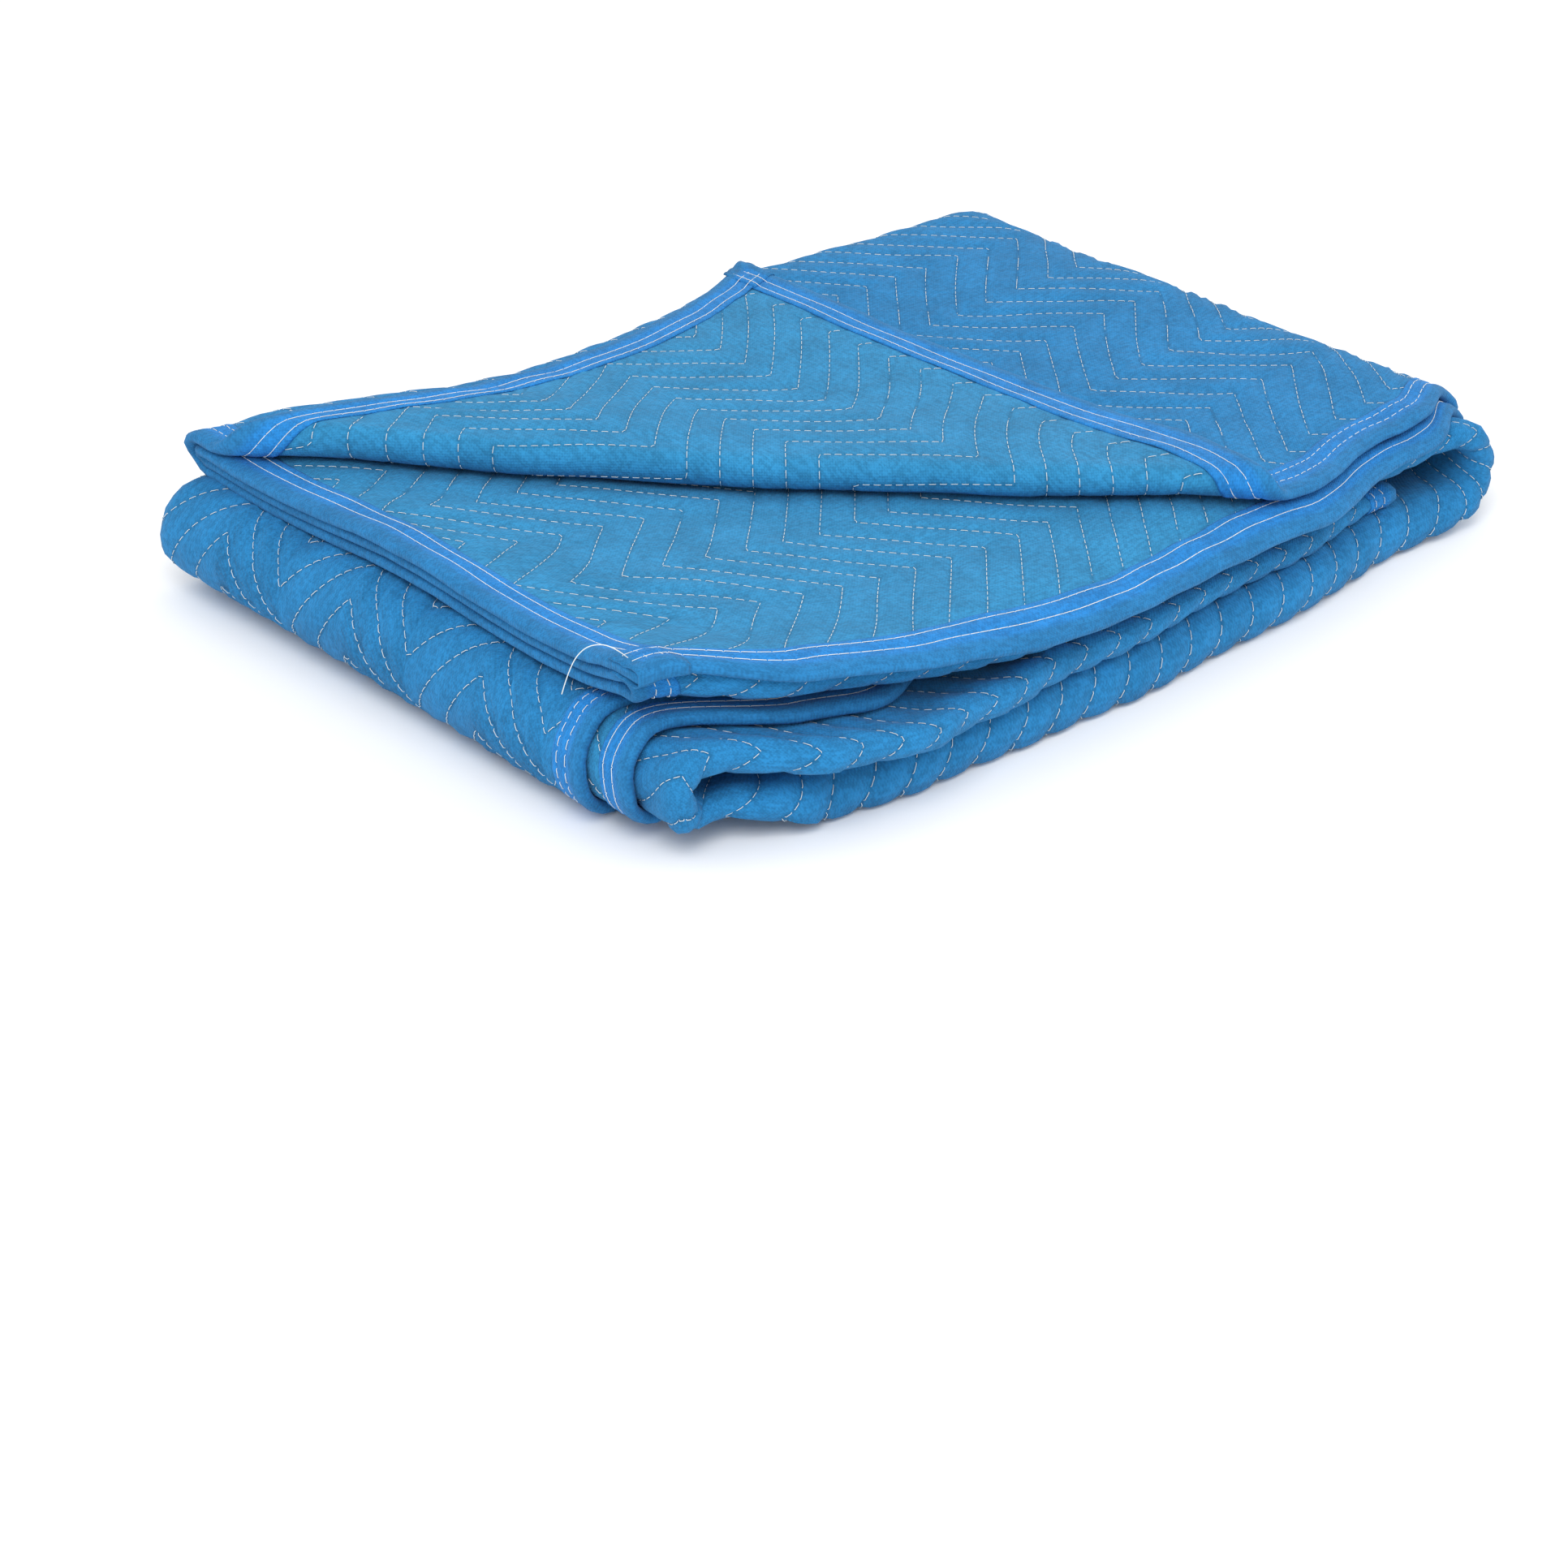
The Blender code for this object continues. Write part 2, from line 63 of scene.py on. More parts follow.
# Where each run along U ends: top run, right turn, bottom run and left turn. The middle run is the rest
TOP_RUN = 0.625
RIGHT_TURN = 0.757
BOTTOM_RUN = 1.366
LEFT_TURN = 1.452

# Where each strip across V ends: top strip A, outer back fold, strip C2, front roll, strip C1 and inner back
# fold. Strip B is the rest
STRIP_A = 0.435
BACK_FOLD = 0.4755
STRIP_C2 = 0.885
FRONT_ROLL = 0.945
STRIP_C1 = 1.3545
INNER_FOLD = 1.368

# The open nose of the left turn lifts what lies over it, and dies out to the right
NOSE = 0.0085
NOSE_FROM = 0.05
NOSE_TO = 0.25

# The front of the bundle, one row for each station along U, distances in metres and levels in plies. The
# edges of strips A and B and the roll that joins C2 and C1 lie at these distances from the front. The roll
# swells from its low level to its high one, and each strip's front is lifted or, where B is bound, droops
FRONT_NAMES = ("u", "a_edge", "b_edge", "roll_y", "roll_deep", "roll_low", "roll_high")
FRONT_NAMES += ("a_lift", "b_lift", "c_lift", "b_droop")
FRONT = [
    (0.00, -0.010, 0.000, 0.012, 0.016, 0.10, 1.45, 0.10, 0.45, 0.35, 0.20),
    (0.08, -0.008, -0.008, 0.006, 0.016, 0.10, 1.45, 0.10, 0.45, 0.35, 0.60),
    (0.26, -0.018, -0.014, 0.002, 0.018, -1.30, -0.30, 0.10, -0.50, -1.25, 1.40),
    (0.36, -0.022, -0.014, 0.002, 0.018, -1.30, -0.30, -0.10, -0.50, -1.25, 1.30),
    (0.47, -0.004, -0.014, 0.002, 0.018, -1.30, -0.30, -0.20, -0.50, -1.25, 1.20),
    (0.60, 0.004, -0.010, 0.000, 0.020, -0.90, 0.25, -0.10, -0.40, -0.85, 0.60),
    (0.66, 0.022, 0.010, -0.014, 0.028, -0.30, 1.35, 0.00, 0.00, 0.00, 0.20),
    (0.74, 0.058, 0.046, -0.020, 0.036, 0.00, 2.00, -0.20, -0.14, 0.00, 0.00),
    (0.80, 0.064, 0.058, -0.010, 0.040, 0.40, 3.10, -0.26, -0.18, 0.00, 0.00),
    (1.28, 0.066, 0.060, 0.000, 0.040, 0.40, 3.25, -0.26, -0.18, 0.00, 0.00),
    (1.345, 0.052, 0.012, -0.016, 0.026, 0.05, 1.35, -0.26, -0.18, 0.00, 0.00),
    (1.40, 0.038, 0.006, -0.026, 0.024, 0.00, 1.30, -0.20, -0.06, 0.00, 0.00),
    (1.46, 0.038, 0.006, -0.026, 0.024, 0.00, 1.50, -0.40, 0.10, 0.00, 0.00),
    (1.56, 0.044, 0.006, -0.022, 0.026, 0.02, 1.50, -0.40, 0.10, 0.00, 0.00),
    (1.64, 0.054, 0.032, -0.012, 0.028, 0.10, 1.60, -0.20, 0.04, 0.00, 0.00),
    (1.70, 0.066, 0.054, -0.002, 0.036, 0.20, 2.00, 0.00, 0.00, 0.00, 0.00),
    (2.03, 0.074, 0.040, 0.004, 0.026, 0.12, 1.35, 0.00, 0.00, 0.00, 0.00),
]

# The turned-back corner: its crease runs from the left edge to the front edge, bowed towards the corner, and
# its roll is centred this far ahead of the straight line between the crease's ends
CREASE_LEFT = np.array((0.018, 0.424))
CREASE_FRONT = np.array((0.480, -0.004))
CREASE_BOW = 0.016
CREASE_RADIUS = 0.0085
CREASE_STEPS = 6
CREASE_AHEAD = 0.013
FLAP_STRETCH = 1.035
FLAP_SAG = 0.024
FLAP_PULL = 0.022

# Strip A's top run bows in at the back behind the flap, and its back fold dips in further there
BACK_BOW = 0.026
BACK_DIP = 0.018

# The bundle's own unevenness: how far its front bows out at each distance along X, how low its right side
# stands, how far the left turn flares out towards the back and its wrap lies in, how far the front left is
# lifted, and how far the top run droops on the wrap at the back left
BOW = [(-0.05, 0.012), (0.03, 0.008), (0.10, -0.032), (0.18, -0.043)]
BOW += [(0.30, -0.044), (0.48, -0.032), (0.60, -0.014), (0.72, -0.004)]
LOW_RIGHT = 0.83
LEFT_FLARE = 0.012
WRAP_IN = 0.012
FRONT_LIFT = 0.007
LEFT_DROOP = 0.008


def smooth(low, high, value):
    """0 below low, 1 above high, and an even S between them."""
    t = np.clip((value - low) / (high - low), 0.0, 1.0)
    return t * t * (3.0 - 2.0 * t)


def read_rows(rows, column, at):
    """A table's column read at each place, with an even S between one row and the next."""
    places = np.array([row[0] for row in rows])
    values = np.array([row[column] for row in rows])
    k = np.clip(np.searchsorted(places, at, side="right") - 1, 0, len(places) - 2)
    t = smooth(places[k], places[k + 1], at)
    return values[k] * (1.0 - t) + values[k + 1] * t


def half_turn(start, end, value):
    """The angle reached in a fold, from 0 at its start to half a turn at its end."""
    return np.pi * np.clip((value - start) / (end - start), 0.0, 1.0)


def between(start, end, value, low, high):
    """Even travel from low to high while value goes from start to end."""
    return low + (high - low) * (value - start) / (end - start)


def strips(u, v):
    """A point's place across the bundle: its distance from the front and its height above strip C2."""
    at = {name: read_rows(FRONT, k, u) for k, name in enumerate(FRONT_NAMES) if k}
    back_y = BACK_Y - BACK_DIP * np.sin(np.pi * np.clip(u / 0.44, 0.0, 1.0))

    def near_edge(distance):
        return 1.0 - smooth(0.018, 0.055, distance)

    def near_front(y):
        return 1.0 - smooth(0.016, 0.056, y)

    # Strip A, from its bound front edge to the outer back fold
    y_a = between(0.0, STRIP_A, v, at["a_edge"], back_y)
    level_a = 3.0 + at["a_lift"] * near_edge(y_a - at["a_edge"])
    # The outer back fold and the inner one are half rounds about one centre
    turn = half_turn(STRIP_A, BACK_FOLD, v)
    y_outer = back_y + 1.5 * PLY * np.sin(turn)
    level_outer = 1.5 + 1.5 * np.cos(turn)
    turn = half_turn(STRIP_C1, INNER_FOLD, v)
    y_inner = back_y + 0.5 * PLY * np.sin(turn)
    level_inner = 1.5 - 0.5 * np.cos(turn)
    # Strips C2 and C1, and the roll at the front that joins them
    roll_back = at["roll_y"] + at["roll_deep"]
    y_c2 = between(BACK_FOLD, STRIP_C2, v, back_y, roll_back)
    level_c2 = at["c_lift"] * near_front(y_c2)
    y_c1 = between(FRONT_ROLL, STRIP_C1, v, roll_back, back_y)
    level_c1 = 1.0 + at["c_lift"] * near_front(y_c1)
    turn = half_turn(STRIP_C2, FRONT_ROLL, v)
    swell_share = np.sin(turn) ** 2
    y_roll = at["roll_y"] + at["roll_deep"] * (1.0 - np.sin(turn))
    middle = 0.5 + at["c_lift"] * near_front(y_roll)
    swell = np.maximum(0.5 * (at["roll_high"] - at["roll_low"]) - 0.3, 0.0)
    shift = 0.5 * (at["roll_high"] + at["roll_low"]) - middle
    level_roll = middle - np.cos(turn) * (0.5 + 2.6 * swell * swell_share) + shift * swell_share
    # Strip B, from the inner back fold to its bound front edge, which hangs over the front
    y_b = between(INNER_FOLD, WIDTH, v, back_y, at["b_edge"])
    level_b = 2.0 + at["b_lift"] * near_edge(y_b - at["b_edge"])
    level_b = level_b - at["b_droop"] * (1.0 - smooth(-0.008, 0.020, y_b - at["b_edge"]))

    pick = [v < STRIP_A, v < BACK_FOLD, v < STRIP_C2, v < FRONT_ROLL, v < STRIP_C1, v < INNER_FOLD]
    y = np.select(pick, [y_a, y_outer, y_c2, y_roll, y_c1, y_inner], y_b)
    level = np.select(pick, [level_a, level_outer, level_c2, level_roll, level_c1, level_inner], level_b)
    return y, level * PLY


def nose(x):
    """How far the open nose of the left turn lifts what lies over it."""
    return NOSE * (1.0 - smooth(NOSE_FROM, NOSE_TO, x))


def runs(u, rise):
    """Where a point lies along the bundle, given its height above strip C2: its X and its Z."""
    under = 1.0 - smooth(0.3 * PLY, 2.7 * PLY, rise)
    x_top = LEFT_END + u + UNDER_END * under * (1.0 - smooth(0.0, 0.08, u))
    x_top = x_top + (RIGHT_TURN_X - LEFT_END - TOP_RUN) * smooth(0.50, TOP_RUN, u)
    z_top = BASE + 8.0 * PLY + nose(x_top) + rise
    turn = half_turn(TOP_RUN, RIGHT_TURN, u)
    x_right = RIGHT_TURN_X + (2.5 * PLY + rise) * np.sin(turn)
    z_right = BASE + 5.5 * PLY + (2.5 * PLY + rise) * np.cos(turn)
    x_low = between(RIGHT_TURN, BOTTOM_RUN, u, RIGHT_TURN_X, LEFT_TURN_X)
    z_low = BASE + 3.0 * PLY - rise
    turn = half_turn(BOTTOM_RUN, LEFT_TURN, u)
    radius = 0.5 * (PLY + NOSE) + rise
    x_left = LEFT_TURN_X - radius * np.sin(turn)
    z_left = BASE + 3.5 * PLY + 0.5 * NOSE - radius * np.cos(turn)
    x_mid = LEFT_TURN_X + (u - LEFT_TURN)
    z_mid = BASE + 4.0 * PLY + nose(x_mid) + rise
    pick = [u < TOP_RUN, u < RIGHT_TURN, u < BOTTOM_RUN, u < LEFT_TURN]
    x = np.select(pick, [x_top, x_right, x_low, x_left], x_mid)
    z = np.select(pick, [z_top, z_right, z_low, z_left], z_mid)
    return x, z


CHORD = CREASE_FRONT - CREASE_LEFT
CHORD_LENGTH = np.linalg.norm(CHORD)
CHORD_ALONG = CHORD / CHORD_LENGTH
CHORD_ACROSS = np.array((-CHORD_ALONG[1], CHORD_ALONG[0]))


def beside_chord(x, y):
    """A point's distance behind the line between the crease's ends, and its share of the way along it."""
    dx = x - CREASE_LEFT[0]
    dy = y - CREASE_LEFT[1]
    across = dx * CHORD_ACROSS[0] + dy * CHORD_ACROSS[1]
    share = (dx * CHORD_ALONG[0] + dy * CHORD_ALONG[1]) / CHORD_LENGTH
    return across, np.clip(share, 0.0, 1.0)


def turn_back(x, y, z, top):
    """Rolls the corner of strip A back over its crease."""
    across, share = beside_chord(x, y)
    beyond = -(across + CREASE_BOW * np.sin(np.pi * share**0.7))
    arc = np.clip(beyond / CREASE_RADIUS, 0.0, np.pi)
    rest = np.maximum(beyond - np.pi * CREASE_RADIUS, 0.0)
    moved = beyond - CREASE_RADIUS * np.sin(arc) + rest * FLAP_STRETCH
    settled = (2.0 * CREASE_RADIUS - 1.05 * PLY) * smooth(0.0, 0.12, rest)
    raised = CREASE_RADIUS * (1.0 - np.cos(arc)) - settled
    flat = smooth(0.0, 0.25, rest)
    new_x = x + CHORD_ACROSS[0] * moved + FLAP_PULL * flat
    new_y = y + CHORD_ACROSS[1] * moved
    sag = np.sin(np.pi * np.clip((new_x - CREASE_LEFT[0]) / 0.42, 0.0, 1.0)) * smooth(0.15, 0.42, new_y)
    new_y = new_y - FLAP_SAG * sag
    on = top & (beyond > 0.0)
    return np.where(on, new_x, x), np.where(on, new_y, y), np.where(on, z + raised, z)


def waves(x, y, length, seed):
    """Soft unevenness between about -1 and 1, its waves about this long."""
    chance = random.Random(seed)
    total = 0.0
    for _ in range(5):
        angle = chance.uniform(0.0, math.pi)
        size = length * chance.uniform(0.7, 1.4)
        across = x * math.cos(angle) + y * math.sin(angle)
        total = total + np.sin(2.0 * math.pi * across / size + chance.uniform(0.0, 6.3))
    return total / 3.0


def settle(x, y, z):
    """The bundle's bowed front and back, its flared left turn, its lower right side and its soft waves."""
    y = y + read_rows(BOW, 1, x) * np.clip(1.0 - y / BACK_Y, 0.0, 1.2)
    y = y - BACK_BOW * np.sin(np.pi * np.clip(x / 0.46, 0.0, 1.0)) * smooth(0.20, BACK_Y, y)
    flare = np.clip(y / BACK_Y, 0.0, 1.0) ** 2 * (1.0 - smooth(-0.02, 0.16, x))
    x = x - LEFT_FLARE * flare * smooth(0.0, 0.03, z) * (1.0 - smooth(0.05, 0.085, z))
    x = x + WRAP_IN * (1.0 - smooth(0.02, 0.20, x)) * (1.0 - smooth(0.055, 0.080, z))
    droop = (1.0 - smooth(0.0, 0.09, x)) * smooth(0.22, 0.42, y) * smooth(0.070, 0.085, z)
    lift = (1.0 - smooth(0.04, 0.27, x)) * (1.0 - smooth(-0.02, 0.13, y)) * smooth(0.030, 0.044, z)
    height = 1.0 - (1.0 - LOW_RIGHT) * smooth(0.02, 0.70, x)
    z = BASE + (z - BASE) * height + FRONT_LIFT * lift - LEFT_DROOP * droop
    swell = 0.0018 * waves(x, y, 0.16, 3) + 0.0007 * waves(x, y, 0.05, 4)
    fringe = 0.0016 * waves(x, 3.0 * z, 0.09, 5) * (1.0 - smooth(0.0, 0.07, y))
    return x, y + fringe, z + swell * smooth(0.015, 0.09, z)


def fold_middle(u, v):
    """Lays points of the cut's middle surface in the bundle."""
    y, rise = strips(u, v)
    x, z = runs(u, rise)
    x, y, z = turn_back(x, y, z, (u < TOP_RUN) & (v < STRIP_A))
    return np.stack(settle(x, y, z), axis=-1)


def ease_to_crease(u, v):
    """Shifts strip A's points so that its straight cuts follow the bowed crease."""
    x = LEFT_END + u
    y = BACK_Y * v / STRIP_A
    across, share = beside_chord(x, y)
    beside = 1.0 - smooth(0.03, 0.13, np.abs(across + CREASE_AHEAD))
    shift = CREASE_BOW * np.sin(np.pi * share**0.7) * beside
    wanted_x = x - CHORD_ACROSS[0] * shift
    wanted_y = y - CHORD_ACROSS[1] * shift
    edge = read_rows(FRONT, 1, u)
    wanted_v = STRIP_A * (wanted_y - edge) / (BACK_Y - edge)
    near = (u < TOP_RUN) & (v < STRIP_A)
    window = beside * smooth(0.0, 0.05, v) * smooth(0.0, 0.03, STRIP_A - v)
    new_u = np.where(near, u + (wanted_x - LEFT_END - u) * smooth(0.0, 0.05, u), u)
    new_v = np.where(near, v + (wanted_v - v) * window, v)
    return new_u, new_v


def fold(u, v, n):
    """Lays points of the cut in the bundle, with N measured towards the side that strip A shows on top."""
    u, v = ease_to_crease(u, v)
    step = 0.0004
    along = fold_middle(u + step, v) - fold_middle(u - step, v)
    across = fold_middle(u, v + step) - fold_middle(u, v - step)
    normal = np.cross(along, across)
    normal /= np.linalg.norm(normal, axis=-1, keepdims=True)
    middle = fold_middle(u, v)
    pressed = 1.0 - 0.10 * smooth(0.0, 0.6, middle[:, 0])
    return middle + normal * (n * pressed)[:, None]


# Quilting: rows of zigzag stitching hold the padding down between soft ridges. The binding and the crease
# press it flatter, and the front roll lets it rise
ROW = 0.0268
ROW_START = 0.0082
ZIG_HALF = 0.0682
ZIG_SLOPE = 0.95
ZIG_START = 0.102
FLAT_HALF = 0.0021
VALLEY = -0.0005
RIDGE = 0.0016
ROLL_RIDGE = 0.0008


def zig(v):
    """How far a row of stitching has swung along the cut at V."""
    t = np.mod(v - ZIG_START, 2.0 * ZIG_HALF)
    return -ZIG_SLOPE * np.minimum(t, 2.0 * ZIG_HALF - t)


def inward(u, v):
    """The distance in from the cut's nearest edge."""
    return np.minimum(np.minimum(u, LENGTH - u), np.minimum(v, WIDTH - v))


def half_thickness(u, v):
    """Half the cloth's thickness: least in the stitching and under the binding."""
    t = np.mod((u - ROW_START - zig(v)) / ROW, 1.0)
    ridge = (4.0 * t * (1.0 - t)) ** 0.6 * (1.0 + 0.18 * waves(u, v, 0.07, 6) + 0.10 * waves(u, v, 0.022, 7))
    free = smooth(0.021, 0.040, inward(u, v))
    rolled = smooth(0.86, 0.89, v) * (1.0 - smooth(0.94, 0.97, v))
    across = beside_chord(LEFT_END + u, BACK_Y * v / STRIP_A)[0]
    crease = (1.0 - smooth(0.016, 0.034, np.abs(across + CREASE_AHEAD))) * (u < TOP_RUN) * (v < STRIP_A)
    back_fold = smooth(0.41, 0.44, v) * (1.0 - smooth(0.47, 0.50, v))
    high = (RIDGE + ROLL_RIDGE * rolled) * (1.0 - 0.7 * crease) * (1.0 - 0.45 * back_fold)
    return FLAT_HALF + free * (VALLEY * (1.0 - 0.5 * crease) + high * ridge)


def ruled_grid(first, second, place):
    """A grid whose vertices go where place puts each pair of line values."""
    bm = bmesh.new()
    bmesh.ops.create_grid(bm, x_segments=len(first) - 1, y_segments=len(second) - 1, size=1.0)
    for vert in bm.verts:
        i = round((vert.co.x + 1.0) / 2.0 * (len(first) - 1))
        j = round((vert.co.y + 1.0) / 2.0 * (len(second) - 1))
        vert.co = place(first[i], second[j])
    bm.normal_update()
    return bm


def cut_along_crease(bm):
    """Cuts strip A's top run along the crease, so that its roll has lines of its own."""
    roll = math.pi * CREASE_RADIUS
    offsets = [-0.012, -0.005] + [roll * k / CREASE_STEPS for k in range(CREASE_STEPS + 1)]
    for offset in offsets + [roll + 0.005, roll + 0.012]:
        point = CREASE_LEFT - CHORD_ACROSS * offset - np.array((LEFT_END, 0.0))
        faces = []
        for face in bm.faces:
            middle = face.calc_center_median()
            gap = abs((middle.x - point[0]) * CHORD_ACROSS[0] + (middle.y - point[1]) * CHORD_ACROSS[1])
            if middle.x < TOP_RUN and middle.y < STRIP_A and gap < 0.03:
                faces.append(face)
        geom = {e for face in faces for e in face.edges} | {v for face in faces for v in face.verts}
        bmesh.ops.bisect_plane(
            bm, geom=faces + list(geom), dist=1e-5, plane_co=(*point, 0.0), plane_no=(*CHORD_ACROSS, 0.0)
        )
    bmesh.ops.triangulate(bm, faces=[face for face in bm.faces if len(face.verts) > 4])


def dress(obj, mat, slot_name, *nodes):
    """Gives a piece its material and its place in the part."""
    obj.data.materials.append(mat)
    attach(obj, "root")
    if nodes:
        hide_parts(*nodes)


def folded_piece(name, bm, level):
    """Folds a flat shell, whose points level moves along N, and keeps its flat place as its UV map."""
    mesh = bpy.data.meshes.new(name)
    bmesh.ops.recalc_face_normals(bm, faces=bm.faces)
    bm.to_mesh(mesh)
    bm.free()
    flat = np.empty(len(mesh.vertices) * 3, np.float32)
    mesh.vertices.foreach_get("co", flat)
    u, v, n = flat.reshape(-1, 3).astype(float).T
    placed = fold(u, v, level(u, v, n)) - foot
    placed[:, 2] = np.maximum(placed[:, 2], 0.0002 + 0.0002 * (n < 0.0))
    mesh.vertices.foreach_set("co", placed.astype(np.float32).ravel())
    corners = np.empty(len(mesh.loops), np.int32)
    mesh.loops.foreach_get("vertex_index", corners)
    cut_map = mesh.uv_layers.new(name="cut")
    cut_map.data.foreach_set("uv", np.stack((u, v), axis=-1)[corners].astype(np.float32).ravel())
    side = mesh.attributes.new("side", "FLOAT", "POINT")
    side.data.foreach_set("value", np.sign(n).astype(np.float32))
    flat = np.stack((u, v, level(u, v, n)), axis=-1)
    flat_place = mesh.attributes.new("cut_place", "FLOAT_VECTOR", "POINT")
    flat_place.data.foreach_set("vector", flat.astype(np.float32).ravel())
    mesh.update()
    mesh.shade_smooth()
    obj = bpy.data.objects.new(name, mesh)
    bpy.context.scene.collection.objects.link(obj)
    return obj


# Where the bundle stands: the solids' box is centred on the origin, and so is this fold
test_grid = np.meshgrid(np.linspace(0.0, LENGTH, 400), np.linspace(0.0, WIDTH, 500))
u_test, v_test = (values.ravel() for values in test_grid)
test = np.concatenate([fold(u_test, v_test, np.full(u_test.shape, n)) for n in (-FLAT_HALF, FLAT_HALF)])
low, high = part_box("quilted_cloth")
foot = 0.5 * (test.min(axis=0) + test.max(axis=0)) - 0.5 * (np.array(low) + np.array(high))
foot[2] = 0.0


# Shared shader groups: the woven ground and the quilting rows, both read from the flat cut. The rows' lines
# carry painted shade in the stitching grooves
def group(name, *outputs):
    """An empty shader group whose outputs are all plain values."""
    tree = bpy.data.node_groups.new(name, "ShaderNodeTree")
    for label in outputs:
        tree.interface.new_socket(label, in_out="OUTPUT", socket_type="NodeSocketFloat")
    return tree


def link(tree, node, socket, value):
    """Sets a node's input, or joins it to another node's output."""
    if isinstance(value, bpy.types.NodeSocket):
        tree.links.new(value, node.inputs[socket])
    else:
        node.inputs[socket].default_value = value


def maths(tree, operation, *values):
    node = tree.nodes.new("ShaderNodeMath")
    node.operation = operation
    for k, value in enumerate(values):
        link(tree, node, k, value)
    return node.outputs[0]


def noise(tree, vector, scale, detail=2.0, rough=0.5):
    node = tree.nodes.new("ShaderNodeTexNoise")
    link(tree, node, "Vector", vector)
    for label, value in (("Scale", scale), ("Detail", detail), ("Roughness", rough)):
        node.inputs[label].default_value = value
    return node.outputs["Fac"]


def ramp(tree, value, low_in, high_in, low_out=0.0, high_out=1.0):
    node = tree.nodes.new("ShaderNodeMapRange")
    node.interpolation_type = "SMOOTHSTEP"
    for k, item in enumerate((value, low_in, high_in, low_out, high_out)):
        link(tree, node, k, item)
    return node.outputs[0]


def mixed(tree, share, first, second, blend="MIX"):
    node = tree.nodes.new("ShaderNodeMix")
    node.data_type = "RGBA"
    node.blend_type = blend
    link(tree, node, 0, share)
    link(tree, node, 6, first)
    link(tree, node, 7, second)
    return node.outputs[2]


def cut_place(tree):
    """The flat cut's place, with the height through the cloth as its third number, and its U and V."""
    node = tree.nodes.new("ShaderNodeAttribute")
    node.attribute_name = "cut_place"
    parts = tree.nodes.new("ShaderNodeSeparateXYZ")
    tree.links.new(node.outputs["Vector"], parts.inputs[0])
    return node.outputs["Vector"], parts.outputs[0], parts.outputs[1]


def stretched(tree, vector, along, across):
    """The place with U and V scaled apart, for threads that are longer than they are wide."""
    node = tree.nodes.new("ShaderNodeVectorMath")
    node.operation = "MULTIPLY"
    link(tree, node, 0, vector)
    node.inputs[1].default_value = (along, across, across)
    return node.outputs[0]


YARN = 0.0021
weave = group("woven_ground", "Height", "Shade")
place, cut_u, cut_v = cut_place(weave)
drift = maths(weave, "MULTIPLY", noise(weave, place, 60.0), 5.0)
warp = maths(weave, "SINE", maths(weave, "MULTIPLY_ADD", cut_u, 2.0 * math.pi / YARN, drift))
weft = maths(weave, "SINE", maths(weave, "MULTIPLY_ADD", cut_v, 2.0 * math.pi / YARN, drift))
knots = maths(weave, "MULTIPLY", warp, weft)
slubs = noise(weave, stretched(weave, place, 130.0, 640.0), 1.0, 2.0, 0.6)
flecks = noise(weave, stretched(weave, place, 560.0, 260.0), 1.0, 2.0, 0.7)
lint = noise(weave, place, 420.0, 3.0, 0.7)
yarns = maths(weave, "ADD", maths(weave, "MULTIPLY", slubs, 0.5), maths(weave, "MULTIPLY", flecks, 0.5))
out = weave.nodes.new("NodeGroupOutput")
fuzz = maths(weave, "MULTIPLY_ADD", lint, 0.8, yarns)
link(weave, out, "Height", maths(weave, "MULTIPLY_ADD", knots, 0.35, fuzz))
link(weave, out, "Shade", maths(weave, "MULTIPLY_ADD", knots, 0.05, yarns))

rows = group("quilting_rows", "Line")
place, cut_u, cut_v = cut_place(rows)
swing = maths(rows, "PINGPONG", maths(rows, "SUBTRACT", cut_v, ZIG_START - 20.0 * ZIG_HALF), ZIG_HALF)
offset = maths(rows, "MULTIPLY_ADD", swing, ZIG_SLOPE, maths(rows, "SUBTRACT", cut_u, ROW_START - 40.0 * ROW))
off_line = maths(rows, "PINGPONG", offset, 0.5 * ROW)
out = rows.nodes.new("NodeGroupOutput")
link(rows, out, "Line", ramp(rows, off_line, 0.0, 0.0032, 1.0, 0.0))


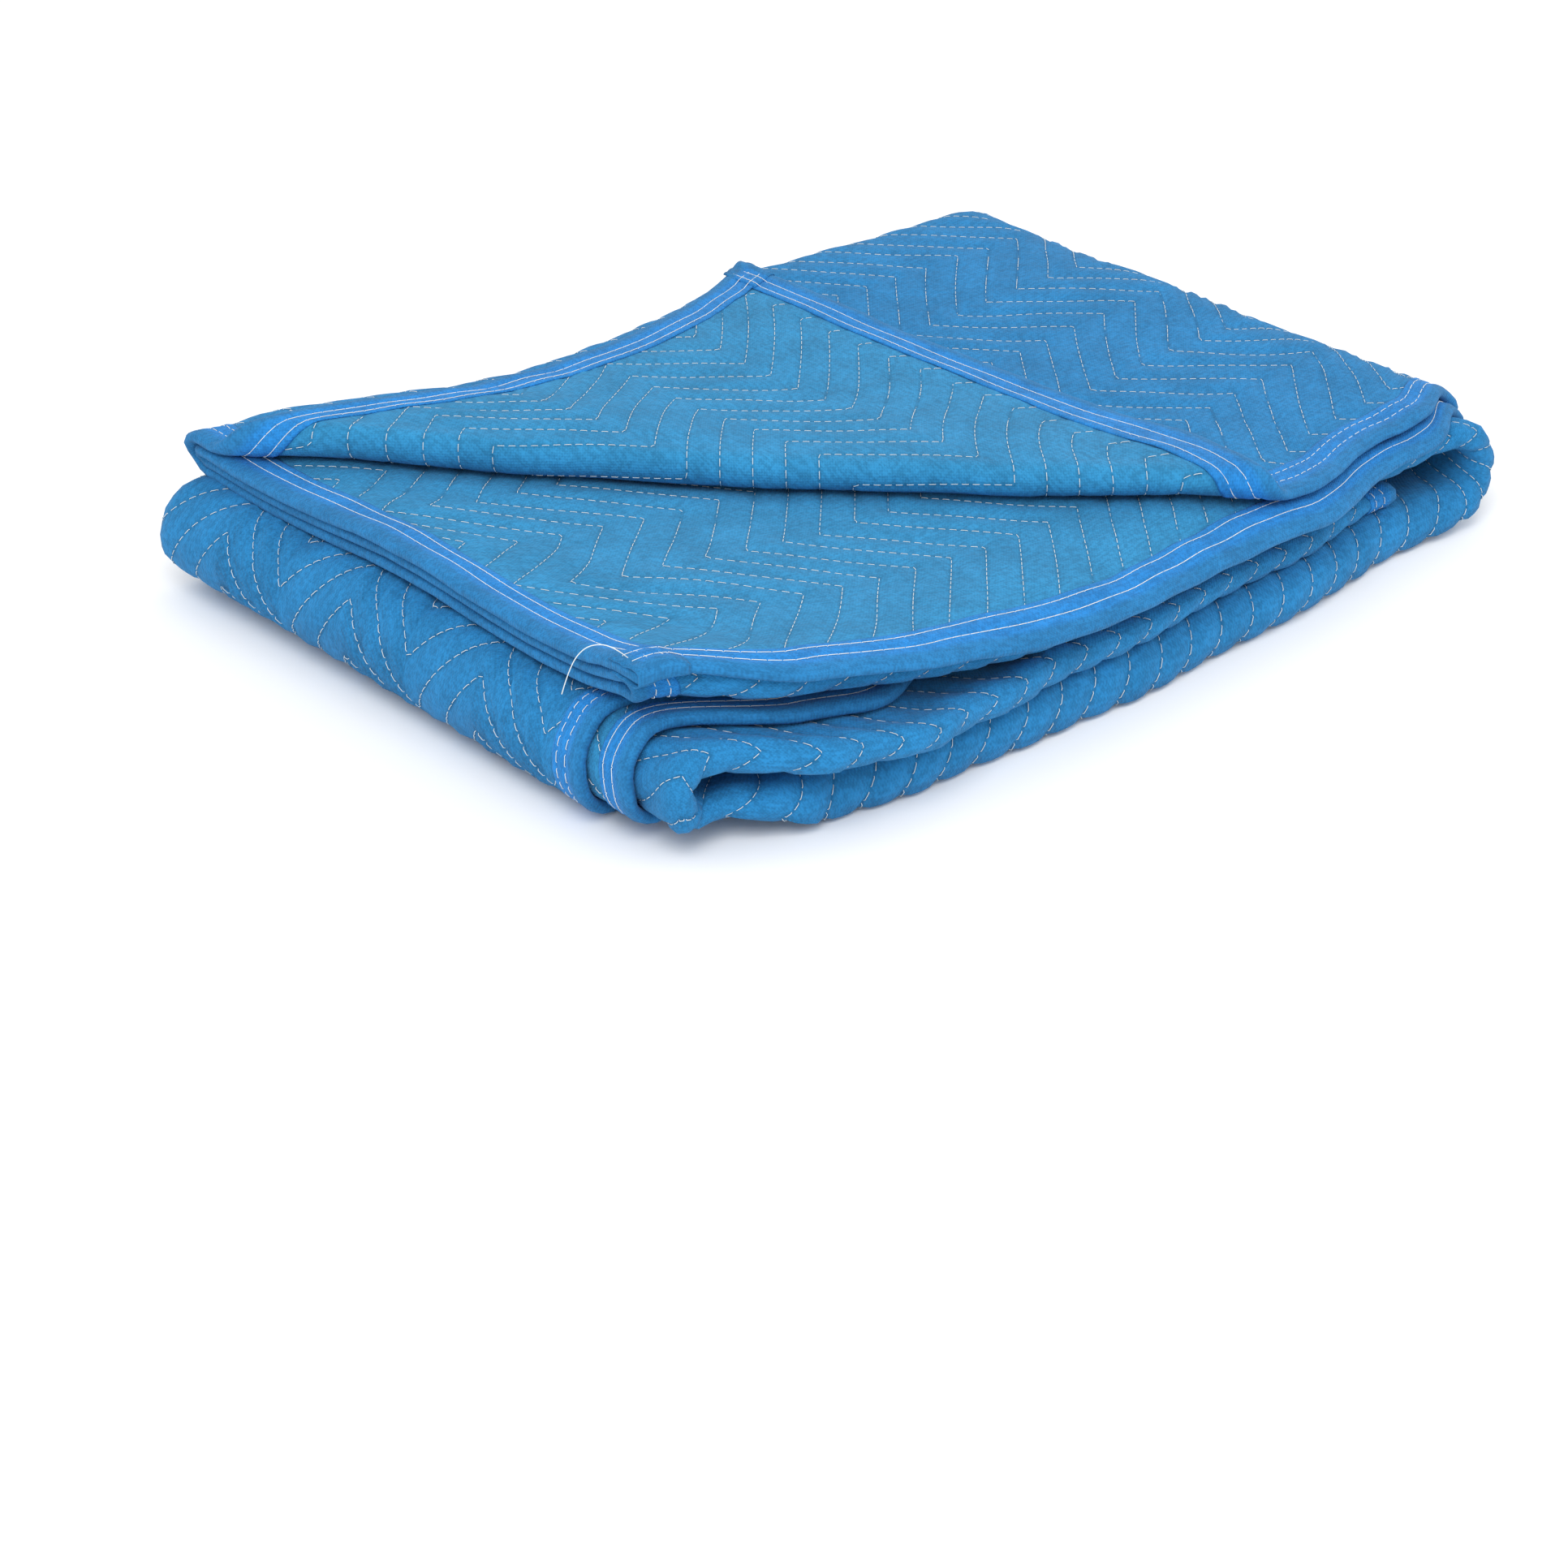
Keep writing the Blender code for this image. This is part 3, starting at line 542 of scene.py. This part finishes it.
def cloth_material(name, colour, other, rough, with_groove_shade):
    """Woven cloth, one colour on its upper side and another on its underside, with painted shade along the
    quilting rows where asked. Tape is duller at its edge.
    """
    mat = bpy.data.materials.new(name)
    mat.use_nodes = True
    tree = mat.node_tree
    shader = tree.nodes["Principled BSDF"]
    ground = tree.nodes.new("ShaderNodeGroup")
    ground.node_tree = weave
    place, cut_u, cut_v = cut_place(tree)
    side = tree.nodes.new("ShaderNodeAttribute")
    side.attribute_name = "side"
    base = mixed(tree, ramp(tree, side.outputs["Fac"], -0.5, 0.5), (*other, 1.0), (*colour, 1.0))
    mottle = ramp(tree, noise(tree, place, 26.0, 5.0, 0.65), 0.3, 0.7, 0.90, 1.10)
    heather = ramp(tree, ground.outputs["Shade"], 0.36, 0.64, 0.82, 1.18)
    shade = maths(tree, "MULTIPLY", mottle, heather)
    if with_groove_shade:
        groove_shade_lines = tree.nodes.new("ShaderNodeGroup")
        groove_shade_lines.node_tree = rows
        # Painted shade: the cloth is darkened along the rows of stitching, where their grooves lie, and
        # painted a little lighter on the ridges between them
        shade = maths(tree, "MULTIPLY", shade, ramp(tree, groove_shade_lines.outputs["Line"], 0.0, 1.0, 1.04, 0.84))
    else:
        far = maths(tree, "MINIMUM", cut_u, maths(tree, "SUBTRACT", LENGTH, cut_u))
        far = maths(tree, "MINIMUM", far, cut_v)
        far = maths(tree, "MINIMUM", far, maths(tree, "SUBTRACT", WIDTH, cut_v))
        base = mixed(tree, ramp(tree, far, 0.0035, 0.0085), (0.017, 0.160, 0.375, 1.0), base)
    tint = tree.nodes.new("ShaderNodeCombineColor")
    for k in range(3):
        link(tree, tint, k, shade)
    link(tree, shader, "Base Color", mixed(tree, 1.0, base, tint.outputs[0], "MULTIPLY"))
    shader.inputs["Roughness"].default_value = rough
    shader.inputs["Specular IOR Level"].default_value = 0.15
    shader.inputs["Sheen Weight"].default_value = 0.05
    shader.inputs["Sheen Roughness"].default_value = 0.5
    soft = tree.nodes.new("ShaderNodeBump")
    soft.inputs["Strength"].default_value = 0.7
    soft.inputs["Distance"].default_value = 0.0022
    link(tree, soft, "Height", noise(tree, place, 55.0, 4.0, 0.6))
    fine = tree.nodes.new("ShaderNodeBump")
    fine.inputs["Strength"].default_value = 0.7
    fine.inputs["Distance"].default_value = 0.0004
    link(tree, fine, "Height", ground.outputs["Height"])
    link(tree, fine, "Normal", soft.outputs[0])
    link(tree, shader, "Normal", fine.outputs[0])
    return mat


# The quilted cloth, one piece: its grid leans with the zigzag, so each row of stitching lies on a line of it
quilt_blue = cloth_material("quilt_blue", (0.018, 0.173, 0.392), (0.025, 0.200, 0.398), 0.95, True)
v_lines = [0.0]
for k in range(-2, 29):
    start = ZIG_START + k * ZIG_HALF
    middle = start + 0.5 * ZIG_HALF
    count = 5
    for turn_at, reach in ((0.455, 0.035), (0.915, 0.045), (1.361, 0.03)):
        if abs(middle - turn_at) < 0.5 * ZIG_HALF + 0.6 * reach:
            count = 11
    if 0.53 < middle < 0.82 or 1.0 < middle < 1.30:
        count = 2
    lines = [start + ZIG_HALF * j / count for j in range(count)]
    v_lines += [line for line in lines if 0.004 < line < WIDTH - 0.004]
v_lines.append(WIDTH)
last_line = int(4.0 * (LENGTH + ZIG_SLOPE * ZIG_HALF) / ROW) + 3
u_lines = [ROW_START + ROW * k / 4.0 for k in range(-6, last_line)]
bm = ruled_grid(u_lines, v_lines, lambda u, v: (u + zig(v), v, 0.0005))
for edge, side in ((0.0, -1.0), (LENGTH, 1.0)):
    geom = bm.faces[:] + bm.edges[:] + bm.verts[:]
    bmesh.ops.bisect_plane(
        bm, geom=geom, dist=1e-6, plane_co=(edge, 0.0, 0.0), plane_no=(side, 0.0, 0.0), clear_outer=True
    )
cut_along_crease(bm)
bmesh.ops.solidify(bm, geom=bm.faces[:], thickness=0.001)
cloth = folded_piece("quilted_blanket", bm, lambda u, v, n: np.sign(n) * half_thickness(u, v))
dress(cloth, quilt_blue, "quilted_cloth", "quilted_cloth")

# The binding: a tape over each edge, puffed between its rows of stitches and round the edge. The short edges'
# tapes lie over the long edges' ones, and at both front left corners a tape end is folded over them
TAPE_THICK = 0.0007
TAPE_ROWS = (0.0195, 0.0112)
TAPE_PROFILE = [
    (0.0240, 0.00222), (0.0228, 0.00275), (0.0211, 0.00262), (0.0195, 0.00228), (0.0179, 0.00266),
    (0.0154, 0.00302), (0.0128, 0.00266), (0.0112, 0.00232), (0.0097, 0.00276), (0.0080, 0.00328),
    (0.0060, 0.00356), (0.0040, 0.00358), (0.0022, 0.00332), (0.0004, 0.00280), (-0.0008, 0.00205),
    (-0.0015, 0.00100),
]
CORNER_RISE = 0.0016
tape_blue = cloth_material("tape_blue", (0.016, 0.186, 0.50), (0.016, 0.186, 0.50), 0.8, False)
ring = TAPE_PROFILE + [(inset, -level) for inset, level in reversed(TAPE_PROFILE)]


def tape(name, stations, place, crease, thick, *node):
    """A bent tape: its profile stands at each station where place puts it, and gets its thickness."""
    bm = ruled_grid(stations, range(len(ring)), lambda at, k: place(at, *ring[k]))
    if crease:
        cut_along_crease(bm)
    bm.normal_update()
    bmesh.ops.solidify(bm, geom=bm.faces[:], thickness=thick)

    def level(u, v, n):
        return n * (1.0 + 0.07 * waves(u, v, 0.03, 8))

    obj = folded_piece(name, bm, level)
    dress(obj, tape_blue, "binding", *node)
    return obj


def over(v, n):
    """The level of a short edge's tape, raised over the long edges' tapes."""
    return n + math.copysign(0.0008 * (1.0 - smooth(0.024, 0.032, np.minimum(v, WIDTH - v))), n)


def folded_over(u, n):
    """The level of the tape end that is folded over a corner, above the tapes below it."""
    return n + math.copysign(CORNER_RISE * (1.0 - 0.5 * smooth(0.020, 0.026, u)), n)


def front_top(u, inset, n):
    return u, inset, n


def front_under(u, inset, n):
    return u, WIDTH - inset, n


def left_end(v, inset, n):
    return inset, v, over(v, n)


def inner_end(v, inset, n):
    return LENGTH - inset, v, over(v, n)


def corner_top(u, inset, n):
    return u, inset - 0.0006, folded_over(u, n)


def corner_under(u, inset, n):
    return u, WIDTH + 0.0006 - inset, folded_over(u, n)


along_u = list(np.linspace(0.0, LENGTH, 300))
at_end = list(np.linspace(-0.0030, 0.0262, 8))
along_v = [-0.0016] + v_lines[1:-1] + [WIDTH + 0.0016]
tapes = [
    tape("binding_front_top_tape", along_u, front_top, True, TAPE_THICK, "binding_front_top"),
    tape("binding_front_under_tape", along_u, front_under, False, -TAPE_THICK, "binding_front_under"),
    tape("binding_left_end_tape", along_v, left_end, True, -TAPE_THICK, "binding_left_end"),
    tape("binding_inner_end_tape", along_v, inner_end, False, TAPE_THICK, "binding_inner_end"),
    tape("corner_fold_top", at_end, corner_top, False, TAPE_THICK),
    tape("corner_fold_under", at_end, corner_under, False, -TAPE_THICK),
]

# The stitches: off-white thread, each stitch its own short length with its ends drawn down into the cloth.
# Quilting stitches are laid only where they can be seen
QUILTING_PITCH = 0.0064
BINDING_PITCH = 0.0066
thread_white = bpy.data.materials.new("thread_white")
thread_white.use_nodes = True
tree = thread_white.node_tree
shader = tree.nodes["Principled BSDF"]
coords = tree.nodes.new("ShaderNodeTexCoord")
soiling = noise(tree, coords.outputs["Object"], 60.0)
link(tree, shader, "Base Color", mixed(tree, soiling, (0.52, 0.60, 0.62, 1.0), (0.80, 0.83, 0.82, 1.0)))
shader.inputs["Roughness"].default_value = 0.7


def thread_curve(name, radius, roundness):
    curve = bpy.data.curves.new(name, "CURVE")
    curve.dimensions = "3D"
    curve.bevel_depth = radius
    curve.bevel_resolution = roundness
    curve.use_fill_caps = True
    return curve


def thread_piece(name, curve):
    """Turns a curve into a mesh piece of thread."""
    obj = bpy.data.objects.new(name, curve)
    bpy.context.scene.collection.objects.link(obj)
    bpy.context.view_layer.objects.active = obj
    obj.select_set(True)
    bpy.ops.object.convert(target="MESH")
    obj.select_set(False)
    dress(obj, thread_white, "binding")
    return obj


def stitches(name, rows_of_four, side, level, radius, end=0.16):
    """Stitches from rows of their first point's U and V and their lengths along U and V."""
    curve = thread_curve(name, radius, 0)
    shares = np.array((0.0, end, 1.0 - end, 1.0))
    lift = np.array((-0.0006, 0.0002, 0.0002, -0.0006))
    u = (rows_of_four[:, :1] + rows_of_four[:, 2:3] * shares).ravel()
    v = (rows_of_four[:, 1:2] + rows_of_four[:, 3:] * shares).ravel()
    n = side * (level(u, v) + np.tile(lift, len(rows_of_four)))
    flat = np.ones((len(rows_of_four), 4, 4), np.float32)
    flat[:, :, :3] = (fold(u, v, n) - foot).reshape(-1, 4, 3)
    for row in flat:
        spline = curve.splines.new("POLY")
        spline.points.add(3)
        spline.points.foreach_set("co", row.ravel())
    obj = thread_piece(name, curve)
    obj.data.shade_smooth()
    return obj


def row_stitches(pitch, share, seed):
    """Every stitch of the quilting: its first point's U and V and its lengths along U and V."""
    chance = np.random.default_rng(seed)
    along = math.hypot(1.0, ZIG_SLOPE)
    found = []
    for k in range(-1, int((LENGTH + ZIG_SLOPE * ZIG_HALF) / ROW) + 2):
        v = np.arange(0.004, WIDTH, pitch / along)
        v = v + chance.uniform(0.0, pitch / along)
        u = ROW_START + k * ROW + zig(v)
        v_end = v + share * pitch / along
        u_end = ROW_START + k * ROW + zig(v_end)
        found.append(np.stack((u, v, u_end - u, v_end - v), axis=-1))
    found = np.concatenate(found)
    ends = found[:, :2] + found[:, 2:]
    far = np.minimum(inward(*found[:, :2].T), inward(*ends.T))
    return found[far > 0.0235]


def seen_outside(u, v):
    """Where the side that strip A shows on top can be seen."""
    top = (u < 0.80) & (v < 0.50)
    left = (u > 1.32) & (u < 1.50) & (v < 0.50)
    back = (v > 0.43) & (v < 0.49)
    front = ((v > 0.86) & (v < 0.98)) | (v < 0.06)
    under = (u > 1.32) & (u < 1.36)
    return top | left | back | front | under


def seen_inside(u, v):
    """Where the other side can be seen: on the flap, on strip B below it and in the open turns."""
    across = beside_chord(LEFT_END + u, v)[0]
    flap = (u < 0.50) & (v < STRIP_A) & (across < 0.01)
    strip = (v > 1.37) & ((u < 0.52) | (v > WIDTH - 0.05))
    rolls = ((v > 0.87) & (v < 0.965)) & ((u < 0.05) | (u > 0.60) & (u < 0.90) | (u > 1.25) & (u < 1.50))
    return flap | strip | rolls


def tape_level(u, v):
    """The height of the binding's stitches, which lie over the folded tape end at a corner."""
    edge = np.minimum(v, WIDTH - v)
    at_corner = (1.0 - smooth(0.0245, 0.0275, u)) * (1.0 - smooth(0.0225, 0.0255, edge))
    return 0.00232 + TAPE_THICK + 0.0001 + CORNER_RISE * at_corner


every = row_stitches(QUILTING_PITCH, 0.75, 11)
outer = every[seen_outside(every[:, 0], every[:, 1])]
inner = every[seen_inside(every[:, 0], every[:, 1])]
threads = [
    stitches("quilting_thread_outer", outer, 1.0, half_thickness, 0.00021),
    stitches("quilting_thread_inner", inner, -1.0, half_thickness, 0.00021),
]

# The binding's two rows on each edge: short stitches above and long, nearly joined ones below
for name, side, share, end in (
    ("binding_thread_outer", 1.0, 0.72, 0.14),
    ("binding_thread_inner", -1.0, 0.97, 0.06),
):
    starts = []
    step = BINDING_PITCH * share
    for inset in TAPE_ROWS:
        u = np.arange(0.003, LENGTH - 0.006, BINDING_PITCH)
        v = np.arange(0.003, WIDTH - 0.006, BINDING_PITCH)
        for at in (inset, WIDTH - inset):
            starts.append(np.stack((u, np.full(u.shape, at), np.full(u.shape, step), 0.0 * u), axis=-1))
        for at in (inset, LENGTH - inset):
            starts.append(np.stack((np.full(v.shape, at), v, 0.0 * v, np.full(v.shape, step)), axis=-1))
    threads.append(stitches(name, np.concatenate(starts), side, tape_level, 0.00028, end))

# A loose end of thread stands in a small arch at strip B's bound corner and hangs down the left turn. Its
# points are measured from that corner
LOOSE_END = [
    (0.003, 0.0134, 0.0057), (-0.004, 0.0179, 0.0140), (-0.011, 0.0232, 0.0156), (-0.018, 0.0277, 0.0120),
    (-0.023, 0.0303, 0.0026), (-0.027, 0.0324, -0.0127),
]
corner = fold(np.array((0.0,)), np.array((WIDTH,)), np.array((0.0,)))[0] - foot
curve = thread_curve("loose_thread", 0.00028, 1)
spline = curve.splines.new("NURBS")
spline.points.add(len(LOOSE_END) - 1)
spline.use_endpoint_u = True
for point, offset in zip(spline.points, LOOSE_END):
    point.co = (*(corner + np.array(offset)), 1.0)
threads.append(thread_piece("loose_thread", curve))

# The setting: a pale floor, a white surround and soft light from above and the left
floor_mesh = bpy.data.meshes.new("floor")
bm = bmesh.new()
bmesh.ops.create_grid(bm, x_segments=1, y_segments=1, size=20.0)
bm.to_mesh(floor_mesh)
bm.free()
floor = bpy.data.objects.new("floor", floor_mesh)
bpy.context.scene.collection.objects.link(floor)
pale = bpy.data.materials.new("pale_floor")
pale.use_nodes = True
pale.node_tree.nodes["Principled BSDF"].inputs["Base Color"].default_value = (0.92, 0.92, 0.92, 1.0)
pale.node_tree.nodes["Principled BSDF"].inputs["Roughness"].default_value = 0.9
floor_mesh.materials.append(pale)

world = bpy.data.worlds.new("surround")
world.use_nodes = True
world.node_tree.nodes["Background"].inputs[0].default_value = (1.0, 1.0, 1.0, 1.0)
world.node_tree.nodes["Background"].inputs[1].default_value = 1.0
bpy.context.scene.world = world
for name, place, size, power in (
    ("key", (-1.6, -1.4, 2.4), 1.6, 45.0),
    ("fill", (2.2, -1.8, 1.8), 2.2, 18.0),
):
    lamp = bpy.data.lights.new(name, "AREA")
    lamp.size = size
    lamp.energy = power
    obj = bpy.data.objects.new(name, lamp)
    obj.location = place
    obj.rotation_euler = (Vector((0.0, 0.0, 0.05)) - obj.location).to_track_quat("-Z", "Y").to_euler()
    bpy.context.scene.collection.objects.link(obj)

# The camera, at the photo's angle. Its aim is measured from the bundle's front left
view = bpy.data.cameras.new("view")
view.lens = 78.26
view.sensor_width = 36.0
camera = bpy.data.objects.new("view", view)
azimuth, elevation, distance = math.radians(-41.23), math.radians(30.0), 2.191
aim = Vector((0.295 - foot[0], 0.211 - foot[1], -0.15))
level_share = math.cos(elevation)
back = Vector((math.sin(azimuth) * level_share, -math.cos(azimuth) * level_share, math.sin(elevation)))
camera.location = aim + back * distance
camera.rotation_euler = (-back).to_track_quat("-Z", "Y").to_euler()
bpy.context.scene.collection.objects.link(camera)
bpy.context.scene.camera = camera

bpy.context.scene.view_settings.view_transform = "Standard"
